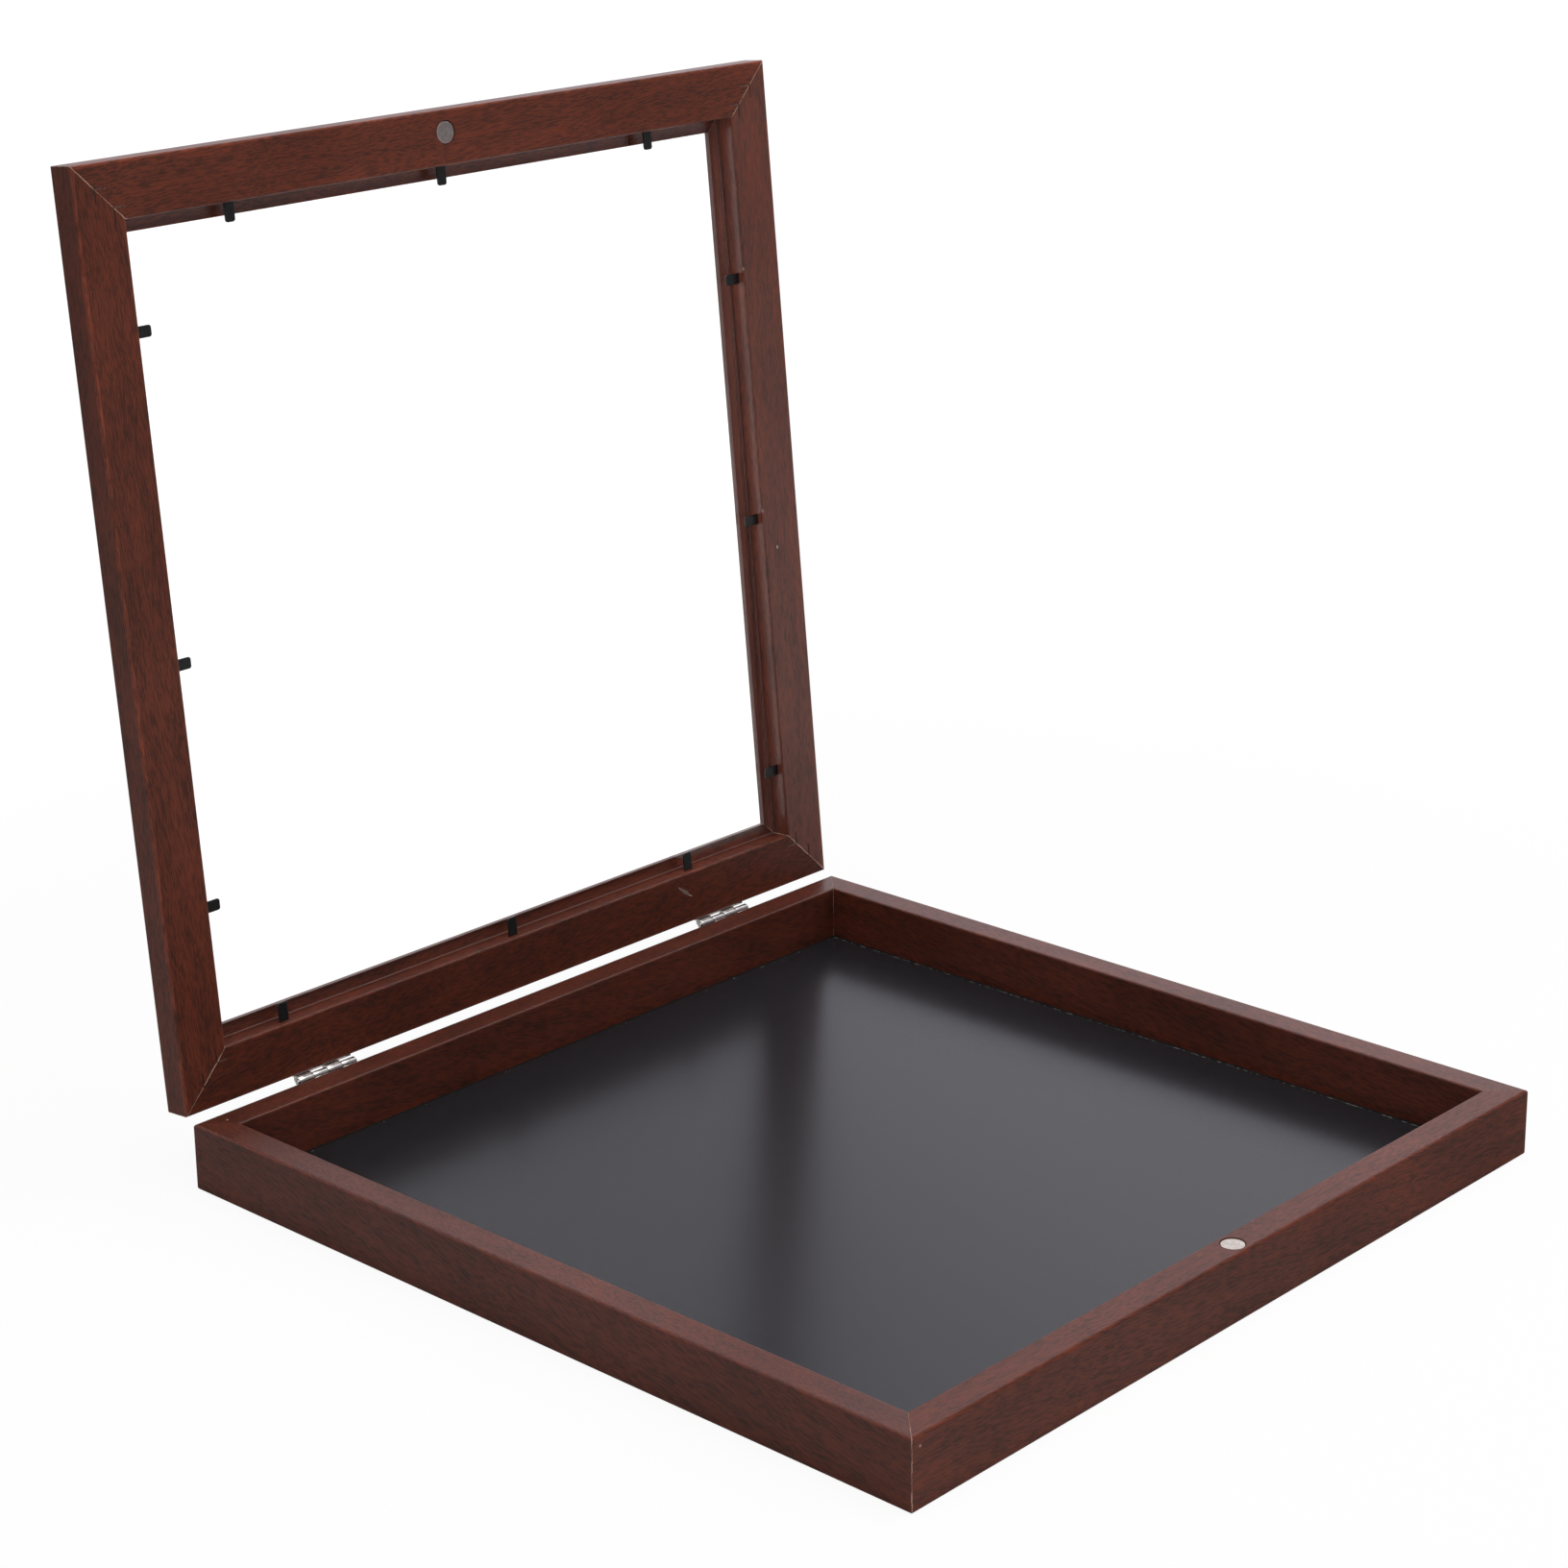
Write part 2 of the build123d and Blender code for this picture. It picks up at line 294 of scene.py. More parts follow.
# each rail's print made lighter or darker for how light falls on it: painted light and shade
railLightAndShade = {
    "base_front_rail": 1.04,
    "base_back_rail": 0.80,
    "lid_front_rail": 1.1,
    "lid_right_rail": 1.16,
    "lid_back_rail": 0.74,
    "lid_left_rail": 1.06,
}
rabbetPaintedLight = {      # painted light in the rabbet: how much lighter it is, how strong a painted sheen lies on it, and how far a painted highlight shows on the end of its lip
    "lid_front_rail": (1.3, 0, 0),
    "lid_right_rail": (1.6, 0.25, 0.5),
    "lid_back_rail": (1.3, 0, 0.6),
}
railLooks = {      # slant of the grain in degrees, on broad face and outer side, and a place in the print
    "base_front_rail": (3, 5, 0.11),
    "base_right_rail": (3, -8, 0.37),
    "base_back_rail": (-3, -10, 0.59),
    "base_left_rail": (4, 13, 0.83),
    "lid_front_rail": (3, 4, 1.13),
    "lid_right_rail": (-3, 3, 1.37),
    "lid_back_rail": (5, -6, 1.61),
    "lid_left_rail": (4, 3, 1.93),
}


def foilPrint(tree, shifted, node):      # its pores, how dark it is and its colour, made lighter or darker per rail as painted light and shade
    broadSlant, sideSlant = railLooks[node][:2]
    slant = (0, math.radians(sideSlant), math.radians(-broadSlant))

    # the print bends a little as it runs along the rail
    sway = noise(tree, shifted, 1 / foil["waveLength"], 1.0).outputs["Color"]
    swayed = addNode(tree, "ShaderNodeVectorMath",
                     {0: sway, 1: (0, foil["wave"], foil["wave"]), 2: shifted},
                     operation="MULTIPLY_ADD").outputs[0]

    def printed(size, cut, detail, smooth):
        length, width = size
        inPrint = within(tree, swayed, (0, 0, 0), slant, (length, width, width))
        return spread(tree, noise(tree, inPrint, 1.0, detail).outputs[0], *cut, smooth=smooth)

    dashes = printed(foil["dash"], foil["dashCut"], 2.0, True)
    fine = printed(foil["fineDash"], foil["fineCut"], 1.0, True)
    streaks = printed(foil["streak"], foil["streakCut"], 2.0, False)
    pores = calc(tree, "MULTIPLY_ADD", fine, foil["fineShare"], times(tree, dashes, foil["dashShare"]))
    dark = calc(tree, "MULTIPLY_ADD", streaks, foil["streakShare"], times(tree, pores, foil["poreShare"]),
                clamp=True)
    # painted light and shade per rail, over the print's random patches
    level = times(tree, patches(tree, shifted, *foil["cloud"]), railLightAndShade.get(node, 1.0))
    return dashes, dark, tinted(tree, blend(tree, dark, foil["redTone"], foil["brownTone"]), level)


def foilWearAndPaintedLight(tree, colour, shifted, inward, up, node):      # worn arrises with a painted highlight and, on the lid, the rabbet's painted light, sheen and highlight
    onLid = node.startswith("lid")
    fromTop = up if onLid else minus(tree, baseTop, up)
    # paler arrises: wear, and a painted highlight along them
    worn = spread(tree, calc(tree, "ADD", inward, fromTop), *foil["arrisReach"], 1, 0)
    if onLid:
        # a painted highlight along the rabbet's edge
        fromRabbet = calc(tree, "ADD", absolute(tree, minus(tree, inward, rabbetInset)), up)
        worn = calc(tree, "MAXIMUM", worn, spread(tree, fromRabbet, *foil["rabbetHighlightReach"], 1, 0))
        rabbetLight, paintedSheen, lipHighlightShare = rabbetPaintedLight.get(node, (1, 0, 0))
        inRabbet = times(tree, near(tree, inward, rabbetInset, foil["wallFade"]),
                         spread(tree, up, *foil["wallRise"]))
        # painted light: the rabbet made lighter
        colour = tinted(tree, colour, spread(tree, inRabbet, 0, 1, 1, rabbetLight))
        # a painted sheen on the lip and the rabbet's wall
        paintedSheenShare = near(tree, inward, rabbetInset, foil["lipFade"], foil["wallPaintedSheen"] * paintedSheen, paintedSheen)
        colour = blend(tree, times(tree, inRabbet, paintedSheenShare), colour, foil["paintedSheenTone"])
        # a painted highlight on the end of the lip
        lipHighlight = near(tree, inward, lipInset, foil["lipHighlightFade"], 0, lipHighlightShare)
        colour = blend(tree, lipHighlight, colour, foil["lipHighlightTone"])
    worn = times(tree, worn, patches(tree, shifted, *foil["wear"], foil["wearCut"]))
    return tinted(tree, colour, calc(tree, "MULTIPLY_ADD", worn, railArrisWearAndHighlight.get(node, foil["arrisWearAndHighlight"]), 1.0))


# Pale, ragged foil edges along the mitres

seams = {
    "width": 0.27 * mm,                  # widest
    "least": 0.35,                       # narrowest, as a share of that
    "scale": 95,
    "cut": (0.36, 0.62),
    "fade": (-0.02 * mm, 0.06 * mm),
    "wander": 0.60 * mm,
    "wanderScale": 330,
    "ragged": 0.2 * mm,
    "raggedScale": 900,
    "topShare": 0.45,                    # what is left of the width over the base's top
    "topEdge": (0.3 * mm, 1.0 * mm),     # inwards from its outer arris, and up to the top
    "topRise": (-1.4 * mm, -0.4 * mm),
    "closedShare": 0.3,                  # and round the height where the base's corners are closed
    "closedHeight": 12.5 * mm,
    "closedReach": (3 * mm, 5.5 * mm),
}
seamOpen = {       # how far the foil has opened at the rail's left and right end, seen from outside
    "base_front_rail": (1.0, 0.15),
    "base_right_rail": (0.15, 0.5),
    "base_back_rail": (0.5, 0.25),
    "base_left_rail": (0.25, 1.0),
    "lid_front_rail": (0.8, 0.75),
    "lid_right_rail": (0.75, 1.0),
    "lid_back_rail": (1.0, 0.9),
    "lid_left_rail": (0.9, 0.8),
}


def foilSeam(tree, point, ragged, along, inward, up, node):
    part, side = node.split("_")[:2]
    half = halfWidth if side in ("front", "back") else halfDepth
    fromEnd = minus(tree, half, absolute(tree, along))
    fromMitre = times(tree, minus(tree, fromEnd, inward), math.sqrt(0.5))

    # the line wanders the same way in both rails
    wander = minus(tree, noise(tree, point, seams["wanderScale"], 2.0, 0.6).outputs[0], 0.5)
    wander = times(tree, wander, times(tree, calc(tree, "SIGN", along), seams["wander"]))
    fromLine = absolute(tree, calc(tree, "ADD", fromMitre, wander))
    fromLine = calc(tree, "MULTIPLY_ADD", ragged, seams["ragged"], minus(tree, fromLine, seams["ragged"] / 2))

    cornerOpen = spread(tree, along, -mm, mm, *seamOpen[node])
    if part == "base":
        onTop = calc(tree, "MAXIMUM", spread(tree, inward, *seams["topEdge"], 1, seams["topShare"]),
                     near(tree, up, baseTop, seams["topRise"], 1, seams["topShare"]))
        fromClosed = absolute(tree, minus(tree, up, seams["closedHeight"]))
        closed = spread(tree, fromClosed, *seams["closedReach"], seams["closedShare"], 1)
        cornerOpen = times(tree, cornerOpen, times(tree, onTop, closed))
    opened = patches(tree, point, seams["scale"], 2.0, seams["least"] * seams["width"], seams["width"],
                     seams["cut"], 0.6)
    return spread(tree, minus(tree, times(tree, opened, cornerOpen), fromLine), *seams["fade"])


# Small damage to the foil

railMarks = {      # place along, inwards and up on the rail, turn in degrees, size, tone
    "lid_back_rail": [((-102, 15.7, 0), 38, (4.0, 1.0, 1), (0.16, 0.115, 0.095)),
                      ((-105.3, 13.1, 0), 30, (1.5, 0.4, 1), (0.28, 0.22, 0.185)),
                      ((-98.9, 18.2, 0), 46, (1.2, 0.4, 1), (0.25, 0.19, 0.160))],
    "lid_right_rail": [((32, 16, 0), 20, (0.85, 0.6, 1), (0.50, 0.36, 0.32)),
                       ((-104.5, 23.9, 0.3), 0, (0.9, 0.45, 0.5), (0.30, 0.21, 0.18)),
                       ((12.6, 23.9, 0.3), 0, (1.0, 0.45, 0.5), (0.30, 0.21, 0.18)),
                       ((22, 30.2, 5.8), 0, (0.9, 0.6, 0.8), (0.50, 0.36, 0.30))],
    "lid_front_rail": [((-175.4, 24.4, 0.4), 30, (1.2, 0.7, 0.7), (0.52, 0.38, 0.30))],
    "base_front_rail": [((-195.6, 0, 25.5), 60, (0.6, 0.6, 0.6), (0.42, 0.30, 0.25))],
    "base_back_rail": [((187.6, 7, 30), 0, (0.45, 0.45, 0.6), (0.42, 0.30, 0.25))],
}
markEdge = {"ragged": 1.4, "fade": (1.40, 1.75)}      # in sizes of the mark


def markMask(tree, local, ragged, place, turn, size):
    inMark = within(tree, local, [step * mm for step in place], (0, 0, math.radians(turn)),
                    [step * mm for step in size])
    distance = calc(tree, "MULTIPLY_ADD", ragged, markEdge["ragged"], lengthOf(tree, inMark))
    return spread(tree, distance, *markEdge["fade"], 1, 0)


def foilMaterial(node):
    part, side = node.split("_")[:2]
    material, tree, shader, point = newFinish("foil_" + part + "_" + side, IOR=1.5,
                                              Specular_IOR_Level=railGloss.get(node, foil["glossLevel"]))
    local = onRail(tree, point, part, side)
    along, inward, up = axesOf(tree, local)
    printPlace = railLooks[node][2]
    shifted = addNode(tree, "ShaderNodeVectorMath", {0: local, 1: (printPlace, printPlace, printPlace)},
                      operation="ADD").outputs[0]
    dashes, dark, colour = foilPrint(tree, shifted, node)
    colour = foilWearAndPaintedLight(tree, colour, shifted, inward, up, node)
    ragged = noise(tree, shifted, seams["raggedScale"], 2.0).outputs[0]
    bare = foilSeam(tree, point, ragged, along, inward, up, node)
    core = tinted(tree, foil["coreTone"], patches(tree, shifted, *foil["coreSpeck"]))
    colour = blend(tree, bare, colour, core)
    for place, turn, size, tone in railMarks.get(node, []):
        mask = markMask(tree, local, ragged, place, turn, size)
        colour = blend(tree, mask, colour, tone)
        bare = calc(tree, "MAXIMUM", bare, mask)
    gloss = spread(tree, dark, 0, 1, *foil["roughness"])
    gloss = calc(tree, "MULTIPLY_ADD", bare, foil["coreDull"], gloss, clamp=True)
    relief = minus(tree, times(tree, dashes, -1), times(tree, bare, foil["coreDrop"]))
    joinTo(tree, shader, Base_Color=colour, Roughness=gloss,
           Normal=bump(tree, relief, foil["relief"], foil["reliefDepth"]))
    return material


for node in railLooks:
    dress(frame["nodes"][node].data, foilMaterial(node))
print("rails wrapped in foil")


# Black liner with a fine leather grain

liner = {
    "tone": (0.0135, 0.0138, 0.0165),
    "mottle": (700, 2.0, 0.8, 1.25),     # scale and detail of its patches, darkest and palest
    "glossTint": (0.91, 0.91, 1, 1),
    "roughness": (0.205, 0.235),
    "roughScale": 1100,
    "grain": 0.75 * mm,
    "drift": 0.6,                        # slow waves in its height, beside the grain
    "driftScale": 300,
    "relief": 0.022,
    "reliefDepth": 0.08 * mm,
    "fibreTone": (0.34, 0.36, 0.33),     # frayed edges, on the right and a little at the back
    "frayDepth": 0.40 * mm,
    "frayFade": 0.1 * mm,
    "frayScale": 320,
    "rightFray": (0.46, 0.60),
    "backFray": (0.60, 0.66),
}


def linerMaterial():
    material, tree, shader, point = newFinish("linerLeatherette", IOR=1.4, Specular_Tint=liner["glossTint"])
    pebbles = addNode(tree, "ShaderNodeTexVoronoi", {"Vector": point, "Scale": 1 / liner["grain"]},
                      feature="SMOOTH_F1").outputs["Distance"]
    drift = noise(tree, point, liner["driftScale"], 3.0).outputs[0]
    height = calc(tree, "MULTIPLY_ADD", drift, liner["drift"], times(tree, pebbles, -1))
    colour = tinted(tree, liner["tone"], patches(tree, point, *liner["mottle"]))
    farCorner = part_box("display_liner")[1]
    across, backwards = axesOf(tree, point)[:2]
    worn = noise(tree, point, liner["frayScale"], 3.0, 0.7).outputs[0]
    frays = [minus(tree, spread(tree, worn, *cut, 0, liner["frayDepth"]), minus(tree, edge, place))
             for cut, edge, place in ((liner["rightFray"], farCorner.x, across),
                                      (liner["backFray"], farCorner.y, backwards))]
    frayed = spread(tree, calc(tree, "MAXIMUM", *frays), 0, liner["frayFade"])
    joinTo(tree, shader, Base_Color=blend(tree, frayed, colour, liner["fibreTone"]),
           Roughness=patches(tree, point, liner["roughScale"], 1.0, *liner["roughness"]),
           Normal=bump(tree, height, liner["relief"], liner["reliefDepth"]))
    return material


# Metals

metal = {
    "relief": 0.08,
    "reliefDepth": 0.02 * mm,
    "stainScale": 450,
    "brush": (6 * mm, 0.2 * mm, 0.2 * mm),      # length and width of fine scratches, and how they are turned
    "brushTurn": (0.3, 0.5, 0.4),
}
magnet = {
    "stainScale": 520,
    "stainCut": (0.35, 0.65),
    "specks": (1500, 2.0, 0.0, 1.0),
    "speckCut": (0.60, 0.68),
    "speckShare": 0.5,
    "rim": (4.1 * mm, 4.5 * mm),      # radii between which the painted highlight on the rim begins
    "roughSpan": 0.06,
    "roughScale": 700,
}
nail = {
    "steelTone": (0.34, 0.22, 0.17),
    "rustTone": (0.16, 0.09, 0.07),
    "rust": (800, 2.0, 0.0, 1.0),
    "rustCut": (0.35, 0.65),
    "roughness": 0.55,
    "metalShare": 0.6,
    "mitreFade": 0.2 * mm,
    "backFade": (-mm, mm),
    "outerArm": (14 * mm, 15 * mm),      # a back nail nearer to the outer face than this is wrapped over
    "shown": (0.55, 0.8),                # how clearly the others show at the front and at the back
}


def plainMetal(name, tone, roughness, scratch, wearTone, wear):
    material, tree, shader, point = newFinish(name, Metallic=1.0)
    stained = spread(tree, noise(tree, point, metal["stainScale"], 3.0, 0.6).outputs[0], 1 - wear, 1.0)
    lines = within(tree, point, (0, 0, 0), metal["brushTurn"], metal["brush"])
    brushed = noise(tree, lines, 1.0, 2.0).outputs[0]
    joinTo(tree, shader, Base_Color=blend(tree, stained, tone, wearTone),
           Roughness=spread(tree, brushed, 0.3, 0.7, roughness - scratch, roughness + scratch),
           Normal=bump(tree, brushed, metal["relief"], metal["reliefDepth"]))
    return material


def magnetMaterial(name, node, turn, tone, roughness, wearTone, wear, rimHighlight):
    material, tree, shader, point = newFinish(name, Metallic=1.0)
    low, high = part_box(node)
    local = within(tree, point, (low + high) / 2, turn, (1, 1, 1))
    across, upwards = axesOf(tree, local)[:2]
    radius = lengthOf(tree, addNode(tree, "ShaderNodeCombineXYZ", {0: across, 1: upwards}).outputs[0])
    clean = patches(tree, point, magnet["stainScale"], 3.0, 1, 1 - wear, magnet["stainCut"], 0.65)
    specks = patches(tree, point, *magnet["specks"], magnet["speckCut"])
    colour = blend(tree, clean, wearTone, tone)
    colour = blend(tree, times(tree, specks, magnet["speckShare"]), colour, wearTone)
    # a painted highlight on the rim
    colour = tinted(tree, colour, spread(tree, radius, *magnet["rim"], 1, rimHighlight))
    gloss = patches(tree, point, magnet["roughScale"], 2.0, roughness - magnet["roughSpan"],
                    roughness + magnet["roughSpan"])
    joinTo(tree, shader, Base_Color=colour, Roughness=gloss,
           Normal=bump(tree, clean, metal["relief"], metal["reliefDepth"]))
    return material


def insideLid(tree, point):      # distance from the lid's nearer side, from its nearer end and from its front
    across, inward = axesOf(tree, onRail(tree, point, "lid", "front"))[:2]
    fromSide = minus(tree, halfWidth, absolute(tree, across))
    fromEnd = minus(tree, halfDepth, absolute(tree, minus(tree, inward, halfDepth)))
    return fromSide, fromEnd, inward


def nailMaterial():      # the arms that lie in the side rails are wrapped over, so only the others show
    material, tree, shader, point = newFinish("nailSteel", Roughness=nail["roughness"])
    fromSide, fromEnd, inward = insideLid(tree, point)
    shown = spread(tree, minus(tree, fromSide, fromEnd), -nail["mitreFade"], nail["mitreFade"])
    atBack = near(tree, inward, halfDepth, nail["backFade"])
    outer = spread(tree, fromEnd, *nail["outerArm"], 1, 0)
    shown = times(tree, shown, minus(tree, 1, times(tree, atBack, outer)))
    shown = times(tree, shown, spread(tree, atBack, 0, 1, *nail["shown"]))
    rust = patches(tree, point, *nail["rust"], nail["rustCut"])
    steel = blend(tree, rust, nail["steelTone"], nail["rustTone"])
    joinTo(tree, shader, Base_Color=blend(tree, shown, foil["brownTone"], steel),
           Metallic=times(tree, shown, nail["metalShare"]))
    return material


# Black paint, board and clear sheet

paint = {
    "tone": (0.0060, 0.0062, 0.0065),
    "speckTone": (0.02, 0.0205, 0.021),
    "speckScale": 900,
    "speckCut": (0.62, 0.72),
    "roughness": (0.28, 0.42),
    "roughScale": 500,
    "relief": 0.10,
    "reliefDepth": 0.04 * mm,
}
board = {
    "tone": (0.005, 0.0047, 0.0045),
    "fibreTone": (0.015, 0.013, 0.012),
    "fibre": (9 * mm, 0.7 * mm, 0.7 * mm),
    "fibreTurn": (0, 0, 0.6),
    "glossLevel": 0.12,
    "roughness": (0.55, 0.75),
    "relief": 0.2,
    "reliefDepth": 0.06 * mm,
}
sheet = {
    "tone": (0.995, 1.0, 0.998),
    "glossLevel": 0.5,
    "smudge": (14, 3.0, 0.0, 0.02),       # scale and detail of faint smears, least and most roughness
    "smudgeCut": (0.45, 0.75),
    "border": (0.15 * mm, 0.3 * mm),      # width of its cut edge, where the foil's colour is painted on as a reflection
    "edgeReflectionTone": (0.16, 0.080, 0.065),
    "borderRough": 0.5,
}


def paintMaterial():
    material, tree, shader, point = newFinish("blackTabPaint", IOR=1.5)
    speck = noise(tree, point, paint["speckScale"], 2.0).outputs[0]
    colour = blend(tree, spread(tree, speck, *paint["speckCut"]), paint["tone"], paint["speckTone"])
    joinTo(tree, shader, Base_Color=colour,
           Roughness=patches(tree, point, paint["roughScale"], 2.0, *paint["roughness"]),
           Normal=bump(tree, speck, paint["relief"], paint["reliefDepth"]))
    return material


def boardMaterial():
    material, tree, shader, point = newFinish("hardboardBlackFace", IOR=1.45,
                                              Specular_IOR_Level=board["glossLevel"])
    inFibre = within(tree, point, (0, 0, 0), board["fibreTurn"], board["fibre"])
    fibres = noise(tree, inFibre, 1, 3).outputs[0]
    joinTo(tree, shader, Base_Color=blend(tree, fibres, board["tone"], board["fibreTone"]),
           Roughness=spread(tree, fibres, 0.3, 0.7, *board["roughness"]),
           Normal=bump(tree, fibres, board["relief"], board["reliefDepth"]))
    return material


def clearMaterial():      # lamps shine through it, so that it throws no shadow
    material, tree, shader, point = newFinish("clearSheet", IOR=1.49)
    fromSide, fromEnd = insideLid(tree, point)[:2]
    border = near(tree, calc(tree, "MINIMUM", fromSide, fromEnd), panelInset, sheet["border"], 1, 0)
    smudge = patches(tree, point, *sheet["smudge"], sheet["smudgeCut"], 0.6)
    # the cut edge takes a painted reflection of the foil
    joinTo(tree, shader, Base_Color=blend(tree, border, sheet["tone"], sheet["edgeReflectionTone"]),
           Roughness=calc(tree, "MULTIPLY_ADD", border, sheet["borderRough"], smudge),
           Transmission_Weight=minus(tree, 1, border),
           Specular_IOR_Level=spread(tree, border, 0, 1, sheet["glossLevel"], 0.0))
    output = next(n for n in tree.nodes if n.type == "OUTPUT_MATERIAL")
    unshaded = addNode(tree, "ShaderNodeBsdfTransparent")
    mix = addNode(tree, "ShaderNodeMixShader",
                  {0: addNode(tree, "ShaderNodeLightPath").outputs["Is Shadow Ray"],
                   1: shader.outputs[0], 2: unshaded.outputs[0]})
    tree.links.new(mix.outputs[0], output.inputs["Surface"])
    return material


finishes = {
    "black_tab": paintMaterial(),
    "backing_board": boardMaterial(),
    "black_liner": linerMaterial(),
    "clear_panel": clearMaterial(),
    "nickel_magnet": magnetMaterial("nickelMagnet", "base_magnet", turn=(0, 0, 0), tone=(0.59, 0.53, 0.47),
                                    roughness=0.22, wearTone=(0.30, 0.255, 0.215), wear=0.40, rimHighlight=1.15),
    "worn_magnet": magnetMaterial("wornMagnet", "lid_magnet", turn=(-openAngle, 0, 0),
                                  tone=(0.50, 0.43, 0.42), roughness=0.48, wearTone=(0.32, 0.265, 0.255),
                                  wear=0.60, rimHighlight=1.4),
    "corner_nail_steel": nailMaterial(),
    "screw_steel": plainMetal("screwSteel", tone=(0.62, 0.61, 0.60), roughness=0.30, scratch=0.07,
                              wearTone=(0.42, 0.40, 0.38), wear=0.30),
    "hinge_nickel": plainMetal("hingeNickel", tone=(0.80, 0.77, 0.73), roughness=0.25, scratch=0.06,
                               wearTone=(0.42, 0.35, 0.30), wear=0.32),
}
for row in frame["record"]["subparts"]:
    if row["material_slot"] in finishes:
        dress(frame["nodes"][row["node"]].data, finishes[row["material_slot"]])
print("other finishes made")


# Small pieces once more with softened edges, each in place of its CAD node

softened = {      # width of the rounding for each slot
    "black_tab": 0.14 * mm,
    "clear_panel": 0.12 * mm,
    "hinge_nickel": 0.10 * mm,
    "screw_steel": 0.05 * mm,
}
rounding = {
    "merge": 0.001 * mm,
    "flat": 0.5,             # edges flatter than this in degrees go, and those sharper than this are rounded
    "sharp": 35,
    "narrow": 0.3 * mm,      # faces narrower than this belong to roundings
}
bodyOf = {node: body for body, nodes in frame["record"]["behaviour"]["bodies"].items() for node in nodes}


def meshOf(name, form):
    mesh = bpy.data.meshes.new(name)
    form.to_mesh(mesh)
    form.free()
    return mesh


def soften(node, slot):
    form = bmesh.new()
    form.from_mesh(frame["nodes"][node].data)
    bmesh.ops.remove_doubles(form, verts=form.verts, dist=rounding["merge"])
    bmesh.ops.dissolve_limit(form, angle_limit=math.radians(rounding["flat"]), verts=form.verts,
                             edges=form.edges)
    sharp = [edge for edge in form.edges
             if edge.is_manifold and edge.calc_face_angle() > math.radians(rounding["sharp"])]
    bmesh.ops.bevel(form, geom=sharp, offset=softened[slot], offset_type="OFFSET", affect="EDGES",
                    segments=2, profile=0.5, material=-1, clamp_overlap=True)
    for face in form.faces:
        face.smooth = face.calc_area() < rounding["narrow"] * face.calc_perimeter()
        face.material_index = 0
    openEdges = sum(not edge.is_manifold for edge in form.edges)
    mesh = meshOf(node + "_softened", form)
    mesh.materials.append(finishes[slot])
    piece = addObject(node + "_softened", mesh)
    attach(piece, bodyOf[node])
    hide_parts(node)
    return openEdges


for row in frame["record"]["subparts"]:
    if row["material_slot"] in softened:
        print("softened", row["node"], "open edges", soften(row["node"], row["material_slot"]))


# Floor, surroundings and lamps

studio = {
    "floorRadius": 12.0,
    "floorTone": (0.62, 0.62, 0.62),
    "floorSeen": 0.88,                 # how much plain white the camera sees over the floor's shadows
    "floorClear": (0.45, 1.1),         # distances over which those shadows end
    "floorDark": 0.08,                 # painted shade: the brightness that gloss sees in place of the floor beside the case
    "floorDarkShare": 0.65,            # share of it on the right
    "floorDarkFade": (-0.1, 0.25),     # from left to right
    "floorDarkReach": (0.35, 0.5),     # distances over which it ends
    "throughSheet": 1.16,              # makes up for what the clear sheet takes from the white floor
    "fill": 0.24,                      # what dull surfaces get from all sides
    "backdropLow": 0.58,               # the backdrop that gloss sees, near the floor and high up
    "backdropHigh": 1.19,
    "backdropFade": (0.467, 0.695),    # sines of the heights between which it changes
    "backdropAside": (1.39, 2.13),     # how much brighter it is on the left and on the right
    "asideFade": (0.653, 0.716),
    "roomDark": 0.22,                  # share of it that is left on the camera's side
    "roomFade": (-0.35, 0.15),
    "glossTone": (0.945, 0.935, 1.0),  # its colour in gloss that no sheet lies over
    "sheetShare": 1.09,                # makes up for what the sheet takes from gloss
    "aimHeight": 0.15,
    "key": {"place": (1.9, -1.5, 1.5), "size": 1.5, "power": 20},
    "top": {"place": (0.1, -0.3, 2.2), "size": 1.6, "power": 28},
    "side": {"place": (-1.7, -1.5, 1.0), "size": 1.2, "power": 8},
}


def rayShares(tree, direct, through, mirrored, other):      # camera, clear sheet, gloss and metal, the rest
    path = addNode(tree, "ShaderNodeLightPath")
    share = other
    for name, value in (("Is Glossy Ray", mirrored), ("Is Transmission Ray", through),
                        ("Is Camera Ray", direct)):
        share = addNode(tree, "ShaderNodeMix", {0: path.outputs[name], 2: share, 3: value}).outputs[0]
    return share


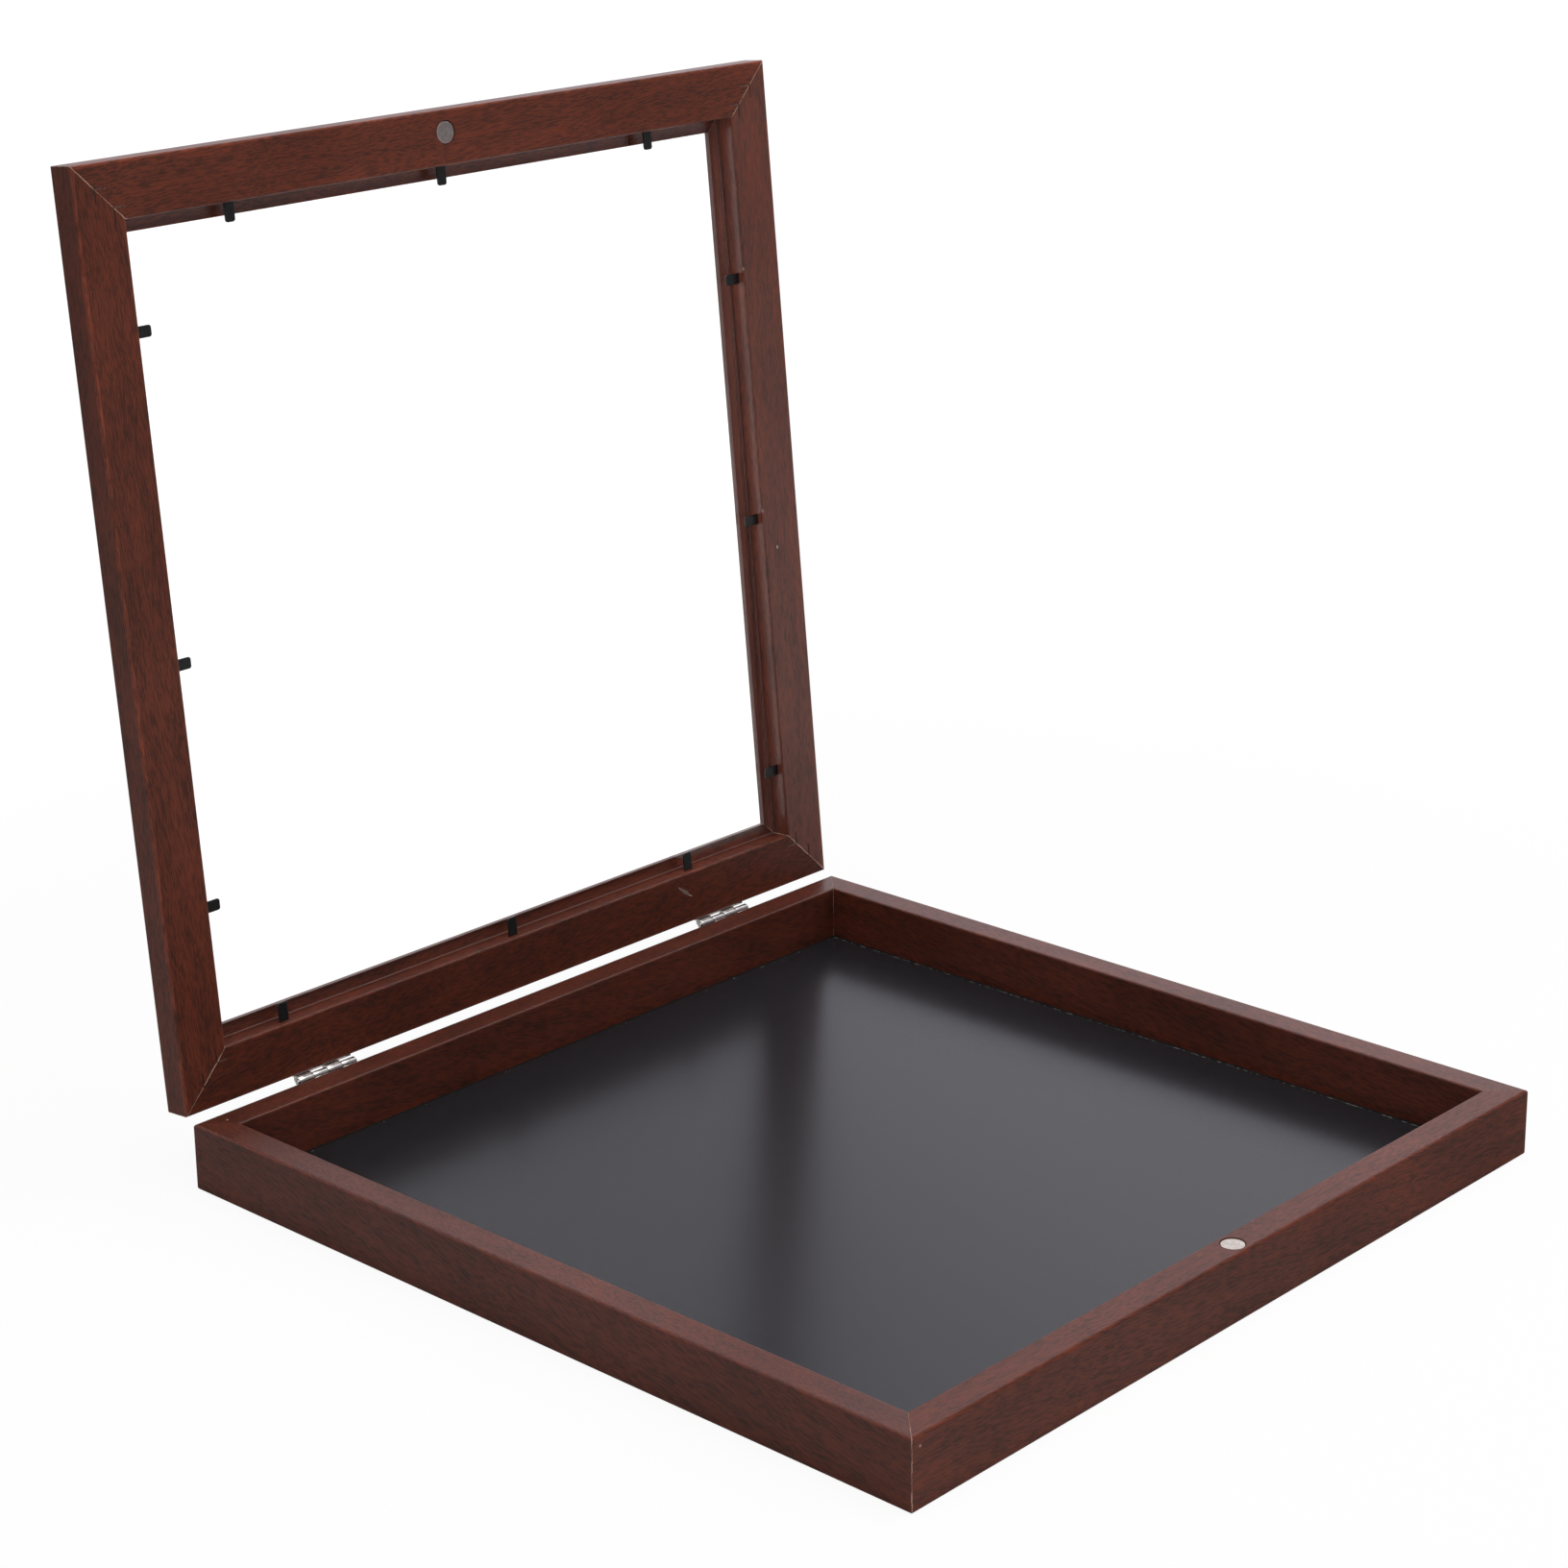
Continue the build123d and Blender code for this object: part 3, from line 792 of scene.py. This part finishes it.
def makeSurroundings():
    world = bpy.data.worlds.new("studio")
    scene.world = world
    tree = emptyTree(world)
    towards = addNode(tree, "ShaderNodeTexCoord").outputs["Generated"]
    aside, backwards, height = axesOf(tree, towards)
    mirrored = spread(tree, height, *studio["backdropFade"], studio["backdropLow"], studio["backdropHigh"],
                      smooth=True)
    mirrored = times(tree, mirrored, spread(tree, backwards, *studio["roomFade"], studio["roomDark"], 1.0,
                                            smooth=True))
    mirrored = times(tree, mirrored, spread(tree, aside, *studio["asideFade"], *studio["backdropAside"]))
    through = times(tree, mirrored, studio["sheetShare"])
    inGloss = addNode(tree, "ShaderNodeLightPath").outputs["Is Glossy Ray"]
    sky = addNode(tree, "ShaderNodeBackground",
                  {"Color": blend(tree, inGloss, (1, 1, 1), studio["glossTone"]),
                   "Strength": rayShares(tree, 1.0, through, mirrored, studio["fill"])})
    output = addNode(tree, "ShaderNodeOutputWorld")
    tree.links.new(sky.outputs[0], output.inputs["Surface"])


def floorMaterial():
    material = bpy.data.materials.new("paleFloor")
    tree = emptyTree(material)
    matt = addNode(tree, "ShaderNodeBsdfDiffuse", {"Color": (*studio["floorTone"], 1)})
    plain = (1 - (1 - studio["floorSeen"]) * studio["floorTone"][0]) / studio["floorSeen"]
    strength = rayShares(tree, plain, studio["throughSheet"] * plain, studio["floorDark"], 1.0)
    white = addNode(tree, "ShaderNodeEmission", {"Color": (1, 1, 1, 1), "Strength": strength})
    point = addNode(tree, "ShaderNodeTexCoord").outputs["Object"]
    distance = lengthOf(tree, point)
    seen = spread(tree, distance, *studio["floorClear"], studio["floorSeen"], 1.0, smooth=True)
    # painted shade beside the case, seen only in gloss
    dark = times(tree, spread(tree, axesOf(tree, point)[0], *studio["floorDarkFade"], 0,
                              studio["floorDarkShare"], smooth=True),
                 spread(tree, distance, *studio["floorDarkReach"], 1, 0))
    share = rayShares(tree, seen, seen, dark, 0.0)
    mix = addNode(tree, "ShaderNodeMixShader", {0: share, 1: matt.outputs[0], 2: white.outputs[0]})
    output = addNode(tree, "ShaderNodeOutputMaterial")
    tree.links.new(mix.outputs[0], output.inputs["Surface"])
    return material


def makeFloor():
    form = bmesh.new()
    bmesh.ops.create_circle(form, cap_ends=True, segments=96, radius=studio["floorRadius"])
    floor = addObject("floor", meshOf("floor", form))
    dress(floor.data, floorMaterial())


def makeLamp(name):
    lamp = studio[name]
    data = bpy.data.lights.new(name, "AREA")
    data.size = lamp["size"]
    data.energy = lamp["power"]
    light = addObject(name, data)
    light.location = lamp["place"]
    aim = Vector((0, 0, studio["aimHeight"])) - Vector(lamp["place"])
    light.rotation_euler = aim.to_track_quat("-Z", "Y").to_euler()
    light.visible_glossy = name == "top"      # the sheet and the liner under it would mirror the low ones
    light.visible_transmission = name == "top"


makeSurroundings()
makeFloor()
for name in ("key", "top", "side"):
    makeLamp(name)
print("studio set")


# Bring the scene up to date

bpy.context.view_layer.update()
